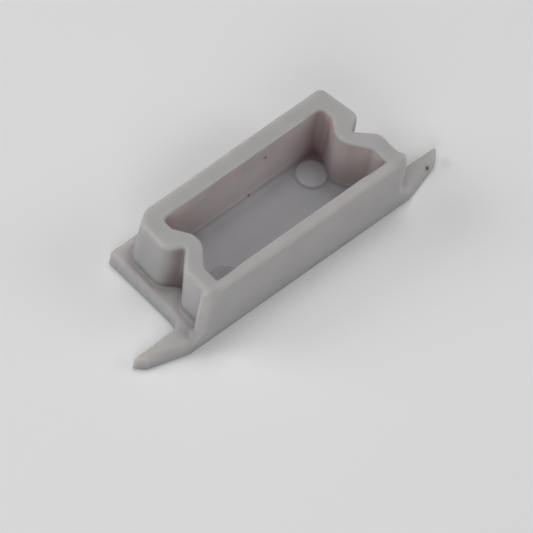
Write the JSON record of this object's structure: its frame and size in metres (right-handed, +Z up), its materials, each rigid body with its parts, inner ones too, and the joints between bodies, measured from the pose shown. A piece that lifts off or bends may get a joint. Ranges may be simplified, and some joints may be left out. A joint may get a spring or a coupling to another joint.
{
  "type": "profile end cap",
  "caption": "Moulded plastic end cap: a hollow notched plug stands on a thin cover plate that carries slim flange wings, and closes the cut end of a recessed strip-light profile.",
  "frame": {"origin": "middle of the outer face, in the plane of that face, which is the bottom of the bounding box", "axes": "+X across the cap along its length from wing to wing, +Y from the flange side to the rear side, +Z up into the profile (the direction the plug points)"},
  "size_m": [0.0248, 0.008, 0.0052],
  "materials": {
    "grey_plastic": "light grey moulded plastic, matt to satin, softly rounded edges, no paint"
  },
  "bodies": {
    "root": {"end_cap": "grey_plastic"}
  },
  "joints": []
}
